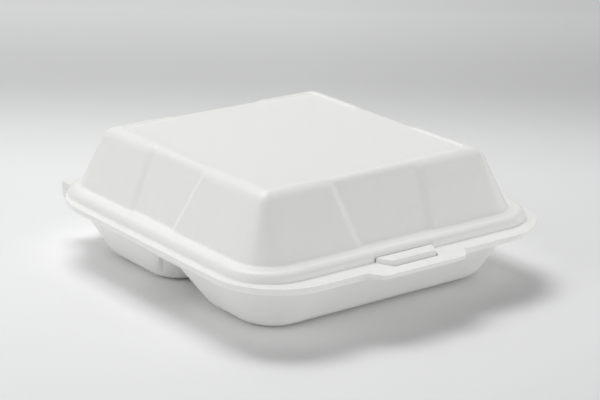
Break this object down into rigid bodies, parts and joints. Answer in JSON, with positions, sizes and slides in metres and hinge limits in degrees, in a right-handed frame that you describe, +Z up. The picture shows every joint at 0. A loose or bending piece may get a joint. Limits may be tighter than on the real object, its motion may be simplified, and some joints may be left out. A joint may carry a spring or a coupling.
{
  "type": "foam clamshell container",
  "caption": "Closed foam clamshell food container: hinged lid with recessed wall panels and a rolled rim, tab lock at the front, and a tray divided into compartments.",
  "frame": {"origin": "middle of the closed container's footprint, on the surface it stands on", "axes": "+X to the right along the front, +Y from the tab lock to the hinge, +Z up"},
  "size_m": [0.213, 0.234, 0.076],
  "materials": {
    "foam": "satin expanded polystyrene with a fine closed-cell skin"
  },
  "bodies": {
    "base": {"base": "foam"},
    "lid": {"lid": "foam"}
  },
  "joints": [
    {"name": "lid_hinge", "type": "hinge", "parent": "base", "child": "lid", "pos_m": [0, 0.117, 0.0334], "axis": [-1, 0, 0], "range_deg": [0, 165]}
  ]
}
